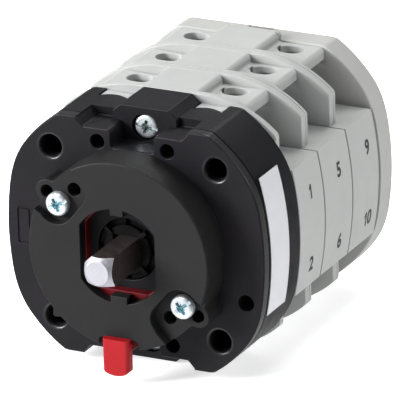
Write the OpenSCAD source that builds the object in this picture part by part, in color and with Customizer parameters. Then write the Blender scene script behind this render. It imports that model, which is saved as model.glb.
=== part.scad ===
// Rear-mounted changeover cam switch: black mechanism housing with a square
// mounting pattern, round front turret, red release slide, square drive shaft
// and three light grey contact decks closed by a back cover.
// Frame: X to the right seen from the front, Y towards the back, Z up.
// Origin: centre of the mounting hole pattern on the front face of the flange.

/* [Envelope] */
// Radius of the rounded corners of the flange and the back cover
corner_r = 29.9; // [29.5:0.1:30.5]
// Half width of the body at mid height
half_w = 28.1; // [27.8:0.1:28.4]
// Half height of the flange and the back cover
half_h = 25.1; // [24.9:0.1:25.4]
// Radius of the bulged sides
side_r = 60; // [42:1:80]
// Half height of the deck plateaus and barrier fins
deck_h = 26.6; // [26.3:0.1:26.8]

/* [Stack along the shaft] */
// Rear face of the mechanism housing
housing_end = 16.5; // [16.4:0.1:16.6]
// Rear face of the first contact deck
deck1_end = 28.3; // [28.2:0.1:28.4]
// Length of the second and third deck
deck_pitch = 13; // [12.9:0.1:13.1]
// Thickness of the back cover
cover_t = 6.1; // [5.8:0.1:6.4]
// How far the square shaft stands in front of the flange face
shaft_out = 16.9; // [15:0.1:18]

/* [Mounting] */
// Distance between mounting hole centres, both ways
hole_pitch = 36; // [36:1:36]
// Diameter of the mounting holes
hole_d = 4.6; // [4.4:0.1:5.4]
// Half spacing across of the small pilot holes
pilot_x = 7.6; // [7.5:0.1:7.7]
// Half spacing up of the small pilot holes
pilot_z = 20.4; // [20.3:0.1:20.5]
// Diameter of the small pilot holes
pilot_d = 3; // [2.8:0.1:3.1]

/* [Turret] */
// Radius of the turret
turret_r = 19.6; // [19.4:0.1:19.8]
// How far the turret stands in front of the flange
turret_t = 7.8; // [7.6:0.1:8]
// Depth of the ear floors below the turret face
ear_depth = 2.1; // [1.9:0.1:2.4]
// Radius of the keyed window
window_r = 9.9; // [9.7:0.1:10]
// Half width between the flats of the window
window_x = 8.15; // [8:0.05:8.2]

/* [Shaft and cams] */
// Width across the flats of the square shaft
shaft_sq = 6; // [5.95:0.01:6.02]
// Mean radius of the linear-rise cams
cam_r0 = 8; // [7.9:0.1:8.1]
// Rise of the cam for every 60 degrees
cam_rise = 1.5; // [1.4:0.05:1.5]
// Outer radius of the index wheel
star_r = 12; // [11.8:0.1:12]

/* [Terminals] */
// Distance of the terminal screws from the centre plane
term_x = 10.5; // [10.4:0.1:10.6]
// Distance of the terminal screws in front of the rear face of their deck
term_back = 3.2; // [3.1:0.1:3.3]
// Diameter of the driver holes in the terminal roofs
driver_d = 4.8; // [4.6:0.1:5.4]
// Half height of the side panels
panel_h = 13.3; // [13.2:0.1:13.4]

/* [Hidden] */

// rear face, front face and front wall thickness of each deck
deck_e = [deck1_end, deck1_end + deck_pitch, deck1_end + 2 * deck_pitch];
deck_s = [housing_end, deck_e[0], deck_e[1]];
bay = 10.1;                      // depth of the open wiring bay of a deck
cover_s = deck_e[2];
cover_e = cover_s + cover_t;
tie_z = 22.4;                    // height of the tie screws
slide_travel = 2;
ear_y = -turret_t + ear_depth;   // floor of the turret ears
GREY = [0.72, 0.73, 0.72];
BLACK = [0.13, 0.13, 0.14];
TURRET = [0.21, 0.21, 0.22];
RED = [0.80, 0.10, 0.13];
ZINC = [0.78, 0.82, 0.86];
STEEL = [0.62, 0.61, 0.60];
COPPER = [0.80, 0.52, 0.33];
BRASS = [0.80, 0.68, 0.36];
IVORY = [0.86, 0.82, 0.70];

// extrude a profile drawn in x and z from y0 to y1
module ex(y0, y1) translate([0, y1, 0]) rotate([90, 0, 0]) linear_extrude(height = y1 - y0) children();
// round bar along y
module cy(r, y0, y1, x = 0, z = 0, r2 = -1)
  translate([x, y1, z]) rotate([90, 0, 0]) cylinder(r1 = r, r2 = r2 < 0 ? r : r2, h = y1 - y0, $fn = 64);
// box between two corners
module bx(a, b) translate(a) cube([b[0] - a[0], b[1] - a[1], b[2] - a[2]]);
// the same piece again turned half round the shaft
module twice() { children(); rotate([0, 180, 0]) children(); }
// the same piece at all four corners
module four() { for (sx = [0, 1], sz = [0, 1]) mirror([sx, 0, 0]) mirror([0, 0, sz]) children(); }

// outline of the flange: rounded corners, bulged sides, flat top and bottom
module outline(d = 0) intersection() {
  circle(r = corner_r - d, $fn = 128);
  translate([half_w - side_r, 0]) circle(r = side_r - d, $fn = 128);
  translate([side_r - half_w, 0]) circle(r = side_r - d, $fn = 128);
  square([80, 2 * (half_h - d)], center = true);
}
// outline of the barrier fins above and below the side panels
module fin_outline() {
  fr = 23.4;
  intersection() {
    union() {
      for (sx = [-1, 1], sz = [-1, 1]) translate([sx * 7, sz * (deck_h - fr)]) circle(r = fr, $fn = 128);
      square([14, 2 * deck_h], center = true);
    }
    square([46.6, 80], center = true);
  }
}

// coil of round wire along x, y or z, from a to b
function coil_pts(cx, cy0, cz, R, w, a, b, turns, dir, ns, nr) = [
  for (i = [0 : ns * turns]) let (t = i / ns * 360, l = a + (b - a) * i / (ns * turns))
    for (j = [0 : nr - 1]) let (f = j / nr * 360, q = R + w * cos(f), h = l + w * sin(f),
      u = q * cos(t), v = q * sin(t))
      dir == 0 ? [h, cy0 + u, cz + v] : [cx + u, cy0 + v, h] ];
module coil(cx, cy0, cz, R, w, a, b, turns, dir = 0) {
  ns = 10; nr = 5; n = ns * turns;
  p = coil_pts(cx, cy0, cz, R, w, a + w, b - w, turns, dir, ns, nr);
  side = [for (i = [0 : n - 1], j = [0 : nr - 1], h = [0, 1]) let (k = (j + 1) % nr)
    h == 0 ? [i * nr + j, i * nr + k, (i + 1) * nr + k] : [i * nr + j, (i + 1) * nr + k, (i + 1) * nr + j]];
  c0 = [[for (j = [0 : nr - 1]) nr - 1 - j]];
  c1 = [[for (j = [0 : nr - 1]) n * nr + j]];
  polyhedron(points = p, faces = concat(side, c0, c1), convexity = 8);
}

// pan head screw along y, head front face at y = yh, cross recess in the head
module pan_screw(x, z, yh, head_r, head_t, shank_r, len) {
  difference() {
    union() {
      cy(head_r, yh + 0.7, yh + head_t, x, z);
      cy(head_r - 0.75, yh, yh + 0.7, x, z, head_r);
      cy(shank_r, yh + head_t, yh + head_t + len, x, z);
    }
    bx([x - 1.45, yh - 1, z - 0.3], [x + 1.45, yh + 1.1, z + 0.3]);
    bx([x - 0.3, yh - 1, z - 1.45], [x + 0.3, yh + 1.1, z + 1.45]);
  }
}

// ---------------------------------------------------------------- front end
module mechanism_housing() color(BLACK) {
  difference() {
    union() {
      ex(0, housing_end) outline();
      cy(10.6, -3.2, 1);
      // locating tongue on top and bottom, with sloping sides
      four() ex(5.8, housing_end) polygon([[-1, 20], [7.1, 20], [7.1, 25], [5.2, deck_h], [-1, deck_h]]);
    }
    // rim groove behind the flange plate
    ex(2.2, 2.7) difference() { square(80, center = true); outline(0.35); }
    // bore for the front hub and room for the index mechanism
    cy(6.46, -4, 5);
    cy(13.6, 5, 17);
    bx([-25.2, 5.6, -3.65], [25.2, 17, 3.65]);
    cy(20.3, 14.3, 17);
    // mounting holes: thin plate with a wider pocket behind
    four() { cy(hole_d / 2, -1, 13, hole_pitch / 2, hole_pitch / 2); cy(3.3, 2.8, 12, hole_pitch / 2, hole_pitch / 2); }
    // small pilot holes
    four() cy(pilot_d / 2, -1, 6, pilot_x, pilot_z);
    cy(1.65, -1, 5, 23.9, -9);
    // shallow slot at the left
    bx([-25.3, -1, -2.4], [-23.3, 0.9, 3]);
    cy(1, -1, 0.9, -24.3, -2.4);
    cy(1, -1, 0.9, -24.3, 3);
    // holes for the turret screws
    twice() cy(1.6, -1, 9, -13.35, 8.9);
    // front recess at top and bottom with sloping ends
    four() ex(-1, 6.9) difference() {
      polygon([[-1, 23.25], [10.7, 23.25], [12, 24.9], [12, 30], [-1, 30]]);
      polygon([[-2, 0], [7.1, 0], [7.1, 25], [5.2, deck_h], [5.2, 40], [-2, 40]]);
    }
    four() ex(-1, 5.8) polygon([[-1, 23.25], [8, 23.25], [8, 30], [-1, 30]]);
    four() bx([-1, -1, 19.4], [4.7, 5.8, 30]);
    four() bx([-1, -1, 19.4], [2.75, 8.2, 25.3]);
    // notches in the rear edge for the lugs of the first deck, each around a rounded boss
    four() difference() {
      bx([7.1, 12.4, 21.9], [13.5, 17, 30]);
      translate([10.25, 10, 0]) cylinder(r = 3.9, h = 40, $fn = 64);
    }
    // tie screw holes
    four() cy(1.65, 7, 17, 0, tie_z);
  }
}

// pocket of one ear as seen from the front, up and left of the shaft
module ear_pocket() {
  translate([-10.1, 11.9]) circle(r = 3.3, $fn = 64);
  translate([-13.35, 8.9]) circle(r = 3.9, $fn = 64);
  polygon([[-7.86, 9.5], [-10.7, 6.05], [-16.1, 6.15], [-19, 8.6], [-26, 12], [-20, 22], [-10, 17.4], [-8, 14.4]]);
}
module front_turret() color(TURRET) {
  difference() {
    union() {
      cy(turret_r, -turret_t, 0);
      // rounded ears at the level of the pocket floor
      twice() ex(ear_y, 0) { translate([-16.2, 10.9]) circle(r = 2.4, $fn = 64);
        polygon([[-18.6, 11], [-16.6, 13.1], [-13.4, 14.6], [-8, 14], [-12, 6], [-18.3, 9.4]]); }
      // small pointer on the rim
      ex(-turret_t, -4) rotate(45) translate([-turret_r - 0.7, -1.0]) square([3, 2]);
    }
    twice() ex(-turret_t - 1, ear_y) ear_pocket();
    // keyed window
    difference() {
      ex(-turret_t - 1, -5) intersection() { circle(r = window_r, $fn = 96); square([2 * window_x, 40], center = true); }
      bx([-1.4, -turret_t - 2, 8.6], [1.4, -4, 12]);
      bx([-1.8, -turret_t - 2, -12], [1.8, -4, -8.4]);
    }
    // room for the release slide and its springs
    cy(10.9, -5.5, 1);
    intersection() { cy(10.9, -5.5, 1, 0, -2.1); bx([-20, -9, -20], [20, 9, 0]); }
    bx([-5.9, -6.2, -16.4], [5.9, 1, -10.4]);
    bx([-3, -5.5, -20], [3, 1, -10]);
    // notch for the finger tab
    bx([-4.3, -9, -21], [4.3, 1, -17.5]);
    // pilot holes and screw holes
    twice() { cy(1.4, -9, -0.9, -10.1, 12); cy(1.35, -9, -0.9, -16.15, 10.8); cy(1.6, -9, 1, -13.35, 8.9); }
  }
}
module turret_screws() color(ZINC) twice() pan_screw(-13.35, 8.9, ear_y - 2, 2.65, 2, 1.45, 11);

module release_slide() color(RED) {
  y0 = -5.3; y1 = -3.4;
  difference() {
    union() {
      ex(y0, y1) intersection() { circle(r = 10.6, $fn = 96); square([19.6, 40], center = true); }
      bx([-5.7, y0, -10.9], [5.7, y1, -8]);
      bx([-2.6, y0, -18.5], [2, y1, -10]);
      bx([-2.6, -7.6, -20.2], [2, y1, -17.9]);
    }
    ex(y0 - 1, y1 + 1) intersection() { circle(r = 9.6, $fn = 96); translate([-8, -8]) square([16, 17.2]); }
  }
  // finger tab: rounded end, rounded front edges, in front of the turret's face
  difference() {
    for (q = [[-8, 8.1], [-7.3, 7.1]]) ex(-9.6, q[0]) translate([-0.3, 0]) intersection() {
      square([5.6, 60], center = true);
      translate([0, -19.2]) circle(r = 5, $fn = 96);
      translate([-4, -25]) square([8, q[1]]);
    }
    for (sx = [-1, 1]) translate([-0.3 + sx * 1.8, -8.6, 0]) difference() {
      bx([sx > 0 ? 0 : -2, -2, -30], [sx > 0 ? 2 : 0, 0, -10]);
      translate([0, 0, -31]) cylinder(r = 1, h = 22, $fn = 48);
    }
  }
}
module slide_springs() color(STEEL)
  for (sx = [-1, 1]) coil(sx * 4.4, -4.45, 0, 0.95, 0.22, -16.35, -10.95, 5, 2);

// ---------------------------------------------------------------- rotor
module square_hole(y0, y1) bx([-shaft_sq / 2 - 0.05, y0, -shaft_sq / 2 - 0.05], [shaft_sq / 2 + 0.05, y1, shaft_sq / 2 + 0.05]);
module drive_shaft() color(STEEL) difference() {
  intersection() {
    bx([-shaft_sq / 2, -shaft_out, -shaft_sq / 2], [shaft_sq / 2, cover_e - 2, shaft_sq / 2]);
    union() {
      cy(2.55, -shaft_out, -shaft_out + 2.4, 0, 0, 4.4);
      cy(4.4, -shaft_out + 2.4, 60);
    }
  }
  // keying flat along one edge of the free end
  translate([-shaft_sq / 2, -shaft_out - 1, shaft_sq / 2]) rotate([0, 45, 0])
    translate([-1.06, 0, -1.06]) cube([2.12, 15.9, 2.12]);
}
module front_hub() color(BLACK) difference() {
  union() { cy(6.4, -2.6, 5.9); cy(5.2, -3.4, -2.6);
    for (a = [45 : 90 : 315]) rotate([0, a, 0]) bx([4.4, -3.4, -0.5], [6.3, -2.6, 0.5]); }
  square_hole(-5, 7);
}
module index_wheel() color(IVORY) difference() {
  union() {
    difference() {
      cy(star_r, 6.2, 12);
      for (a = [0 : 60 : 300]) rotate([0, a, 0]) cy(3.4, 5, 13, 13.4, 0);
    }
    cy(6.2, 6, 16.4);
    // stop lug
    intersection() { cy(9.6, 12, 16.1); bx([-1.5, 11, 0], [1.5, 17, 11]); }
  }
  square_hole(5, 17);
}
module index_plunger() color(IVORY) difference() {
  union() {
    cy(3, 6.3, 11.9, 15.1, 0);
    bx([15.1, 6.3, -3], [20, 11.9, 3]);
    bx([17, 6.1, -3.55], [20, 13.6, 3.55]);
  }
  translate([18.4, 9.1, 0]) rotate([0, 90, 0]) cylinder(r = 2.6, h = 3, $fn = 48);
}
module index_plunger_right() index_plunger();
module index_plunger_left() rotate([0, 180, 0]) index_plunger();
module index_spring_right() color(STEEL) coil(0, 9.1, 0, 2.0, 0.3, 18.45, 25.15, 6);
module index_spring_left() color(STEEL) mirror([1, 0, 0]) coil(0, 9.1, 0, 2.0, 0.3, 18.45, 25.15, 6);
module stop_plate() color(STEEL) difference() {
  cy(20.1, 14.4, 16.3);
  cy(6.5, 13, 17);
  // the lug of the index wheel swings in this window
  ex(13, 17) difference() {
    intersection() {
      circle(r = 9.9, $fn = 96);
      polygon([[0, 0], [40 * sin(74), 40 * cos(74)], [40, 60], [-40, 60], [-40 * sin(74), 40 * cos(74)]]);
    }
    circle(r = 4, $fn = 48);
  }
}
// linear-rise profile: the radius grows by cam_rise every 60 degrees of turn
function cam_r(a) = cam_r0 + cam_rise / 60 * (a <= 90 ? -a : a - 180);
module cam(k) color([0.25, 0.25, 0.27]) {
  m = deck_e[k] - bay / 2;
  difference() {
    union() {
      // angle a runs the way the rotor turns about +y, so it is drawn mirrored in z
      ex(m - 2.1, m + 2.1) polygon([for (i = [0 : 89]) let (a = -90 + i * 4) cam_r(a) * [cos(a), -sin(a)]]);
      cy(5.6, deck_s[k] + 0.1, deck_e[k] - 0.05);
    }
    square_hole(deck_s[k] - 1, deck_e[k] + 1);
  }
}
module cam_1() cam(0);
module cam_2() cam(1);
module cam_3() cam(2);
module rear_hub() color([0.25, 0.25, 0.27]) difference() {
  cy(5, cover_s + 0.1, cover_e - 1.9);
  square_hole(cover_s - 1, cover_e - 1.8);
}

// ---------------------------------------------------------------- decks
// pieces of the contact side at +x; side -1 puts them at -x
module on_side(s) mirror([s > 0 ? 0 : 1, 0, 0]) children();

module contact_deck(k) color(GREY) {
  s = deck_s[k]; e = deck_e[k]; b = e - bay; m = e - bay / 2;
  difference() {
    union() {
      // side panels over the whole length
      ex(s, e) intersection() { outline(); square([80, 2 * panel_h], center = true); }
      // front wall with the barrier fins
      ex(s, b) fin_outline();
      // raised centre and terminal roofs
      ex(b, e) square([12.6, 2 * deck_h], center = true);
      four() bx([6, b, 22.2], [16.3, e, 24.75]);
      // lugs of the first deck that reach into the rear notches of the housing
      if (k == 0) four() difference() {
        bx([7.3, 12.7, 22.1], [13.3, s + 1, 24.9]);
        translate([10.25, 10, 0]) cylinder(r = 4.1, h = 40, $fn = 64);
      }
      // small fillets beside the raised centre
      four() ex(b, e) difference() { translate([6, 24.5]) square([1.2, 1.1]); translate([7.3, 25.65]) circle(r = 1, $fn = 32); }
    }
    // passages for the cam sleeve and the tie screws
    cy(6, s - 1, e + 1);
    four() cy(1.65, s - 1, e + 1, 0, tie_z);
    // cam room, follower ways and bridge rooms, open to the rear
    cy(10.6, b, e + 1);
    bx([-25.2, b, -3.55], [25.2, e + 1, 3.55]);
    four() bx([13.6, b, -1], [21.6, e + 1, 11.3]);
    four() bx([13.5, m - 2.6, 11], [14.7, m + 2.6, 14]);
    // thinner roof over each terminal, driver holes and screw holes
    four() bx([term_x - 3.4, e - 6.6, 21], [term_x + 3.4, e + 1, 23.4]);
    four() { translate([term_x, e - term_back, 21]) cylinder(d = driver_d, h = 5, $fn = 64);
      translate([term_x, e - term_back, 11.9]) cylinder(r = 1.6, h = 3, $fn = 48); }
  }
}
module contact_deck_1() contact_deck(0);
module contact_deck_2() contact_deck(1);
module contact_deck_3() contact_deck(2);

module follower(k, s) color(IVORY) {
  m = deck_e[k] - bay / 2;
  on_side(s) difference() {
    union() {
      bx([cam_r0 + 1.1, m - 2.4, -2.6], [20.4, m + 2.4, 2.6]);
      translate([cam_r0 + 1.12, m + 2.4, 0]) rotate([90, 0, 0]) cylinder(r = 1, h = 4.8, $fn = 48);
      bx([16, m - 2.6, -3.45], [20.4, m + 2.6, 3.45]);
    }
    bx([17, m - 2.2, -5], [18.2, m + 2.2, 5]);
    bx([5, m - 3, -3], [cam_r0 + 1.15, m + 3, -0.95]);
    bx([5, m - 3, 0.95], [cam_r0 + 1.15, m + 3, 3]);
    translate([19, m, 0]) rotate([0, 90, 0]) cylinder(r = 2.1, h = 2, $fn = 48);
  }
}
module follower_a1() follower(0, 1);
module follower_a2() follower(1, 1);
module follower_a3() follower(2, 1);
module follower_b1() follower(0, -1);
module follower_b2() follower(1, -1);
module follower_b3() follower(2, -1);

module bridge(k, s) color(COPPER) {
  m = deck_e[k] - bay / 2;
  on_side(s) {
    bx([17.05, m - 2.1, -10.6], [18.15, m + 2.1, 10.6]);
    for (z = [-9.2, 9.2]) translate([16.6, m, z]) rotate([0, 90, 0]) cylinder(r = 1.1, h = 0.6, $fn = 32);
  }
}
module bridge_a1() bridge(0, 1);
module bridge_a2() bridge(1, 1);
module bridge_a3() bridge(2, 1);
module bridge_b1() bridge(0, -1);
module bridge_b2() bridge(1, -1);
module bridge_b3() bridge(2, -1);

module contact_spring(k, s) color(STEEL) on_side(s)
  coil(0, deck_e[k] - bay / 2, 0, 1.6, 0.25, 19.05, 25.15, 5);
module contact_spring_a1() contact_spring(0, 1);
module contact_spring_a2() contact_spring(1, 1);
module contact_spring_a3() contact_spring(2, 1);
module contact_spring_b1() contact_spring(0, -1);
module contact_spring_b2() contact_spring(1, -1);
module contact_spring_b3() contact_spring(2, -1);

module fixed_contacts(k) color(BRASS) {
  e = deck_e[k]; m = e - bay / 2;
  four() {
    difference() {
      union() {
        bx([7, e - 7.4, panel_h], [14.5, e - 0.4, panel_h + 1]);
        bx([13.65, m - 2.4, 7.9], [14.5, m + 2.4, panel_h + 1]);
      }
      translate([term_x, e - term_back, 12]) cylinder(r = 1.55, h = 4, $fn = 48);
    }
    translate([14.5, m, 9.2]) rotate([0, 90, 0]) cylinder(r = 1.1, h = 0.5, $fn = 32);
  }
}
module fixed_contacts_1() fixed_contacts(0);
module fixed_contacts_2() fixed_contacts(1);
module fixed_contacts_3() fixed_contacts(2);

module terminal_screws(k) color(ZINC) {
  e = deck_e[k];
  four() translate([term_x, e - term_back, 0]) difference() {
    union() {
      translate([0, 0, 12]) cylinder(r = 1.45, h = 6, $fn = 48);
      translate([0, 0, 17.5]) cylinder(r = 2.45, h = 1.6, $fn = 48);
      translate([0, 0, 19.1]) cylinder(r1 = 2.45, r2 = 1.9, h = 0.6, $fn = 48);
    }
    bx([-3, -0.4, 18.5], [3, 0.4, 21]);
    bx([-0.35, -1.5, 18.4], [0.35, 1.5, 21]);
  }
}
module terminal_screws_1() terminal_screws(0);
module terminal_screws_2() terminal_screws(1);
module terminal_screws_3() terminal_screws(2);

module clamp_washers(k) color(ZINC) {
  e = deck_e[k];
  four() difference() {
    union() {
      bx([7.1, e - 6.1, 16.6], [13.9, e - 0.35, 17.45]);
      bx([13.3, e - 6.1, 15.8], [13.9, e - 0.35, 17]);
    }
    translate([term_x, e - term_back, 15]) cylinder(r = 1.6, h = 4, $fn = 48);
  }
}
module clamp_washers_1() clamp_washers(0);
module clamp_washers_2() clamp_washers(1);
module clamp_washers_3() clamp_washers(2);

// ---------------------------------------------------------------- rear end
module back_cover() color(GREY) difference() {
  union() {
    ex(cover_s, cover_e - 0.6) outline();
    ex(cover_e - 0.6, cover_e) outline(0.6);
  }
  cy(5.06, cover_s - 1, cover_e - 1.7);
  four() { cy(1.65, cover_s - 1, cover_e + 1, 0, tie_z); }
  // seats of the square tie nuts, open towards the top and the rear
  four() bx([-1, cover_e - 3.4, 19.6], [3, cover_e + 1, 26]);
  // shallow round recess in the middle of the rear face
  cy(11, cover_e - 1, cover_e + 1);
}
module tie_screws() color(ZINC) twice() pan_screw(0, tie_z, 6, 2.6, 2, 1.45, cover_e - 8.6);
module tie_nuts() color(ZINC) for (sz = [-1, 1]) difference() {
  translate([0, cover_e - 2.2, sz * tie_z]) cube([5.3, 2.4, 5.3], center = true);
  cy(1.47, cover_e - 5, cover_e + 1, 0, sz * tie_z);
}
module side_label() color([0.90, 0.91, 0.93]) ex(3.1, 11.4) intersection() {
  difference() { outline(-0.15); outline(0); }
  translate([10, -12.4]) square([30, 28.8]);
}

mechanism_housing();
front_turret();
turret_screws();
release_slide();
slide_springs();
drive_shaft();
front_hub();
index_wheel();
index_plunger_left();
index_plunger_right();
index_spring_left();
index_spring_right();
stop_plate();
contact_deck_1();
contact_deck_2();
contact_deck_3();
cam_1();
cam_2();
cam_3();
follower_a1();
follower_a2();
follower_a3();
follower_b1();
follower_b2();
follower_b3();
bridge_a1();
bridge_a2();
bridge_a3();
bridge_b1();
bridge_b2();
bridge_b3();
contact_spring_a1();
contact_spring_b1();
contact_spring_a2();
contact_spring_b2();
contact_spring_a3();
contact_spring_b3();
fixed_contacts_1();
fixed_contacts_2();
fixed_contacts_3();
terminal_screws_1();
terminal_screws_2();
terminal_screws_3();
clamp_washers_1();
clamp_washers_2();
clamp_washers_3();
back_cover();
rear_hub();
tie_screws();
tie_nuts();
side_label();
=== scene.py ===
"""Looks of a three-deck changeover cam switch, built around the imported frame.
Lengths in this script are millimetres while a piece is modelled, and metres once it is placed."""
import math

import bpy
import bmesh
from mathutils import Matrix, Vector


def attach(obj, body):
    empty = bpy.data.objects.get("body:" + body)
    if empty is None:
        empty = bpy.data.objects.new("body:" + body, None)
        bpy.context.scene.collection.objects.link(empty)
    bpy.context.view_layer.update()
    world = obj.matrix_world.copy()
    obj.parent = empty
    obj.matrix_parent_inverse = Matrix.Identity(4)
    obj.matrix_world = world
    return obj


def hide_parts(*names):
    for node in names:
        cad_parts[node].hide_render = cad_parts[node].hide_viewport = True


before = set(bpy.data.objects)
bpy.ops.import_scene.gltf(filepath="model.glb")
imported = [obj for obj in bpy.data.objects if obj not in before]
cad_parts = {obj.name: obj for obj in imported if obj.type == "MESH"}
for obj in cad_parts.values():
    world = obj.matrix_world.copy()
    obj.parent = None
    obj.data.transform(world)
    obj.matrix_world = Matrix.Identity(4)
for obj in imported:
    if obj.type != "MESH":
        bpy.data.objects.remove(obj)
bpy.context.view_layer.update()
SCENE = bpy.context.scene
COL = SCENE.collection
PI = math.pi

# ------------------------------------------------------------------ sizes (mm)
CORNER_R, SIDE_R, HALF_W, HALF_H, DECK_H = 29.9, 60.0, 28.1, 25.1, 26.6
HOUSING_END = 16.5
DECKS = [(16.5, 28.3), (28.3, 41.3), (41.3, 54.3)]
BAY = 10.1
COVER = (54.3, 60.4)
PANEL_H = 13.3
TIE_Z = 22.4
EAR_Y = -5.7


# ------------------------------------------------------------------ 2D helpers
def arc(cx, cy, r, a0, a1, n):
    return [(cx + r * math.cos(math.radians(a0 + (a1 - a0) * i / n)),
             cy + r * math.sin(math.radians(a0 + (a1 - a0) * i / n))) for i in range(n + 1)]


def circle(r, cx=0.0, cy=0.0, n=64):
    return [(cx + r * math.cos(2 * PI * i / n), cy + r * math.sin(2 * PI * i / n)) for i in range(n)]


def area2(p):
    return sum(p[i - 1][0] * p[i][1] - p[i][0] * p[i - 1][1] for i in range(len(p)))


def ccw(p):
    return p if area2(p) > 0 else p[::-1]


def clean(p, eps=1e-4):
    out = []
    for q in p:
        if not out or math.hypot(q[0] - out[-1][0], q[1] - out[-1][1]) > eps:
            out.append(q)
    while len(out) > 3 and math.hypot(out[0][0] - out[-1][0], out[0][1] - out[-1][1]) <= eps:
        out.pop()
    return out


def grow(p, d):
    """The closed counter-clockwise outline p moved outward by d."""
    if abs(d) < 1e-9:
        return list(p)
    n, out = len(p), []
    for i in range(n):
        (x0, y0), (x1, y1), (x2, y2) = p[i - 1], p[i], p[(i + 1) % n]
        ax, ay, bx, by = x1 - x0, y1 - y0, x2 - x1, y2 - y1
        la, lb = math.hypot(ax, ay), math.hypot(bx, by)
        n1, n2 = (ay / la, -ax / la), (by / lb, -bx / lb)
        k = max(1 + n1[0] * n2[0] + n1[1] * n2[1], 0.4)
        out.append((x1 + (n1[0] + n2[0]) * d / k, y1 + (n1[1] + n2[1]) * d / k))
    return out


def rounded(p, r, n=5):
    """Straight-sided outline with its corners rounded; r is one radius or one per corner."""
    p = list(p)
    m, out = len(p), []
    for i in range(m):
        rr = r[i] if isinstance(r, (list, tuple)) else r
        a, b, c = Vector(p[i - 1]), Vector(p[i]), Vector(p[(i + 1) % m])
        u, v = (a - b), (c - b)
        lu, lv = u.length, v.length
        u.normalize(); v.normalize()
        ang = u.angle(v)
        if rr <= 1e-6 or ang > PI - 1e-3:
            out.append(tuple(b)); continue
        t = min(rr / math.tan(ang / 2), lu * 0.49, lv * 0.49)
        rr = t * math.tan(ang / 2)
        p0, p1 = b + u * t, b + v * t
        centre = b + (u + v).normalized() * (rr / math.sin(ang / 2))
        a0 = math.atan2(p0.y - centre.y, p0.x - centre.x)
        a1 = math.atan2(p1.y - centre.y, p1.x - centre.x)
        d = (a1 - a0 + PI) % (2 * PI) - PI
        out += [(centre.x + rr * math.cos(a0 + d * j / n), centre.y + rr * math.sin(a0 + d * j / n)) for j in range(n + 1)]
    return clean(out)


def outline(half_h=HALF_H, corner=1.2):
    """Flange outline: bulged sides, rounded corners, flat top and bottom."""
    c = SIDE_R - HALF_W
    xi = (SIDE_R ** 2 - CORNER_R ** 2 - c * c) / (2 * c)
    zi = math.sqrt(CORNER_R ** 2 - xi * xi)
    a_side = math.degrees(math.asin(zi / SIDE_R))
    a_in = math.degrees(math.atan2(zi, xi))
    top = min(half_h, HALF_H)
    a_top = math.degrees(math.asin(top / CORNER_R))
    if half_h < zi:
        a_end = math.degrees(math.asin(half_h / SIDE_R))
        quad = arc(HALF_W - SIDE_R, 0, SIDE_R, 0, a_end, 20)
        return ccw(clean(quad + [(-x, z) for x, z in quad[::-1]] + [(-x, -z) for x, z in quad] + [(x, -z) for x, z in quad[::-1]]))
    quad = arc(HALF_W - SIDE_R, 0, SIDE_R, 0, a_side - 4.6, 26)
    p0, p2 = quad[-1], (CORNER_R * math.cos(math.radians(a_in + 8.5)), CORNER_R * math.sin(math.radians(a_in + 8.5)))
    t0, t2 = math.radians(a_side - 4.6 + 90), math.radians(a_in + 8.5 + 90)
    den = math.cos(t0) * math.sin(t2) - math.sin(t0) * math.cos(t2)
    k = ((p2[0] - p0[0]) * math.sin(t2) - (p2[1] - p0[1]) * math.cos(t2)) / den
    p1 = (p0[0] + k * math.cos(t0), p0[1] + k * math.sin(t0))
    for i in range(1, 13):
        t = i / 12
        quad.append(((1 - t) ** 2 * p0[0] + 2 * t * (1 - t) * p1[0] + t * t * p2[0],
                     (1 - t) ** 2 * p0[1] + 2 * t * (1 - t) * p1[1] + t * t * p2[1]))
    quad += arc(0, 0, CORNER_R, a_in + 8.5, a_top - 1.2, 20)[1:]
    x0, z0 = quad[-1]
    # short blend between the corner arc and the flat top
    p1 = (CORNER_R * math.cos(math.radians(a_top)), top)
    p2 = (p1[0] - 1.1, top)
    for i in range(1, 6):
        t = i / 5
        quad.append(((1 - t) ** 2 * x0 + 2 * t * (1 - t) * p1[0] + t * t * p2[0],
                     (1 - t) ** 2 * z0 + 2 * t * (1 - t) * p1[1] + t * t * p2[1]))
    for x in (12, 8, 4, 0):
        quad.append((float(x), top))
    return ccw(clean(quad + [(-x, z) for x, z in quad[::-1]] + [(-x, -z) for x, z in quad] + [(x, -z) for x, z in quad[::-1]]))


def fin_outline(low):
    """Upper half of a barrier fin, from height low up to the crown."""
    fr, cx = 23.4, 7.0
    cz = DECK_H - fr
    xr = 23.3
    zr = cz + math.sqrt(fr * fr - (xr - cx) ** 2)
    a0 = math.degrees(math.atan2(zr - cz, xr - cx))
    right = [(xr, low), (xr, zr - 0.5)] + [(xr - 0.1, zr - 0.05)] + arc(cx, cz, fr, a0 + 1.0, 90, 30)
    left = [(-x, z) for x, z in right[::-1]]
    return ccw(clean(right + left))


# ------------------------------------------------------------------ 3D helpers
MAP = {"Y": lambda u, v, w: (u, w, v), "Z": lambda u, v, w: (u, v, w), "X": lambda u, v, w: (w, u, v)}


def mesh_object(verts, faces, name="tmp"):
    me = bpy.data.meshes.new(name)
    me.from_pydata([tuple(v) for v in verts], [], faces)
    bm = bmesh.new()
    bm.from_mesh(me)
    bmesh.ops.remove_doubles(bm, verts=bm.verts, dist=1e-5)
    bmesh.ops.recalc_face_normals(bm, faces=bm.faces)
    bm.to_mesh(me)
    bm.free()
    ob = bpy.data.objects.new(name, me)
    COL.objects.link(ob)
    return ob


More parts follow.
